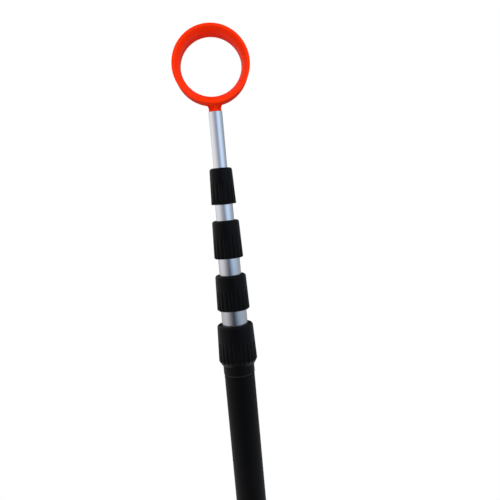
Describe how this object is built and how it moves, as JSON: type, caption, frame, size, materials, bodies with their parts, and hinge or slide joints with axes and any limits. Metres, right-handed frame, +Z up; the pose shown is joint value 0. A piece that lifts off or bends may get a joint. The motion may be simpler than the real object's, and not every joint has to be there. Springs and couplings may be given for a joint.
{
  "type": "telescopic boat hook with a ring head",
  "caption": "Telescopic pole with nested aluminium sections, twist-lock nuts, a black grip handle and a deep moulded ring at its tip for reaching, catching and passing lines or balls",
  "frame": {"origin": "on the pole's axis, in the flat face of the butt cap, at the bottom centre of the box round the object", "axes": "+Z up the pole to the ring; X across the ring; Y along the ring's axis, with its wide mouth towards -Y"},
  "size_m": [0.055, 0.0286, 0.6845],
  "materials": {
    "anodised_tube": "satin silver anodised",
    "nut_plastic": "fine matt moulded nylon",
    "bush_plastic": "natural acetal, smooth",
    "ring_plastic": "satin moulded, slightly glossy",
    "handle_coating": "matt black",
    "sleeve_rubber": "matt shrunk sleeve",
    "grip_rubber": "matt moulded"
  },
  "bodies": {
    "handle": {"handle_tube": "handle_coating", "handle_sleeve": "sleeve_rubber", "hand_grip": "grip_rubber", "butt_cap": "grip_rubber", "thread_ferrule_4": "nut_plastic"},
    "fourth_section": {"fourth_tube": "anodised_tube", "end_plug_4": "bush_plastic", "thread_ferrule_3": "nut_plastic"},
    "third_section": {"third_tube": "anodised_tube", "end_plug_3": "bush_plastic", "thread_ferrule_2": "nut_plastic"},
    "second_section": {"second_tube": "anodised_tube", "end_plug_2": "bush_plastic", "thread_ferrule_1": "nut_plastic"},
    "tip_section": {"tip_tube": "anodised_tube", "end_plug_1": "bush_plastic", "ring_head": "ring_plastic"},
    "lock_4_collet": {"clamp_collet_4": "bush_plastic"},
    "lock_4_nut": {"lock_nut_4": "nut_plastic"},
    "lock_3_collet": {"clamp_collet_3": "bush_plastic"},
    "lock_3_nut": {"lock_nut_3": "nut_plastic"},
    "lock_2_collet": {"clamp_collet_2": "bush_plastic"},
    "lock_2_nut": {"lock_nut_2": "nut_plastic"},
    "lock_1_collet": {"clamp_collet_1": "bush_plastic"},
    "lock_1_nut": {"lock_nut_1": "nut_plastic"}
  },
  "joints": [
    {"name": "fourth_slide", "type": "slide", "parent": "handle", "child": "fourth_section", "axis": [0, 0, 1], "range_m": [0, 0.3755]},
    {"name": "third_slide", "type": "slide", "parent": "fourth_section", "child": "third_section", "axis": [0, 0, 1], "range_m": [0, 0.401]},
    {"name": "second_slide", "type": "slide", "parent": "third_section", "child": "second_section", "axis": [0, 0, 1], "range_m": [0, 0.4298]},
    {"name": "tip_slide", "type": "slide", "parent": "second_section", "child": "tip_section", "axis": [0, 0, 1], "range_m": [0, 0.4564]},
    {"name": "lock_4_lift", "type": "slide", "parent": "handle", "child": "lock_4_collet", "axis": [0, 0, 1], "range_m": [0, 0.001]},
    {"name": "lock_4_turn", "type": "hinge", "parent": "lock_4_collet", "child": "lock_4_nut", "pos_m": [0, 0, 0.4564], "axis": [0, 0, 1], "range_deg": [0, 180]},
    {"name": "lock_3_lift", "type": "slide", "parent": "fourth_section", "child": "lock_3_collet", "axis": [0, 0, 1], "range_m": [0, 0.001]},
    {"name": "lock_3_turn", "type": "hinge", "parent": "lock_3_collet", "child": "lock_3_nut", "pos_m": [0, 0, 0.4935], "axis": [0, 0, 1], "range_deg": [0, 180]},
    {"name": "lock_2_lift", "type": "slide", "parent": "third_section", "child": "lock_2_collet", "axis": [0, 0, 1], "range_m": [0, 0.001]},
    {"name": "lock_2_turn", "type": "hinge", "parent": "lock_2_collet", "child": "lock_2_nut", "pos_m": [0, 0, 0.5337], "axis": [0, 0, 1], "range_deg": [0, 180]},
    {"name": "lock_1_lift", "type": "slide", "parent": "second_section", "child": "lock_1_collet", "axis": [0, 0, 1], "range_m": [0, 0.001]},
    {"name": "lock_1_turn", "type": "hinge", "parent": "lock_1_collet", "child": "lock_1_nut", "pos_m": [0, 0, 0.5718], "axis": [0, 0, 1], "range_deg": [0, 180]}
  ],
  "couplings": [
    {"joint": "lock_4_lift", "follows": "lock_4_turn", "m_per_rad": 0.000318},
    {"joint": "lock_3_lift", "follows": "lock_3_turn", "m_per_rad": 0.000318},
    {"joint": "lock_2_lift", "follows": "lock_2_turn", "m_per_rad": 0.000318},
    {"joint": "lock_1_lift", "follows": "lock_1_turn", "m_per_rad": 0.000318}
  ]
}
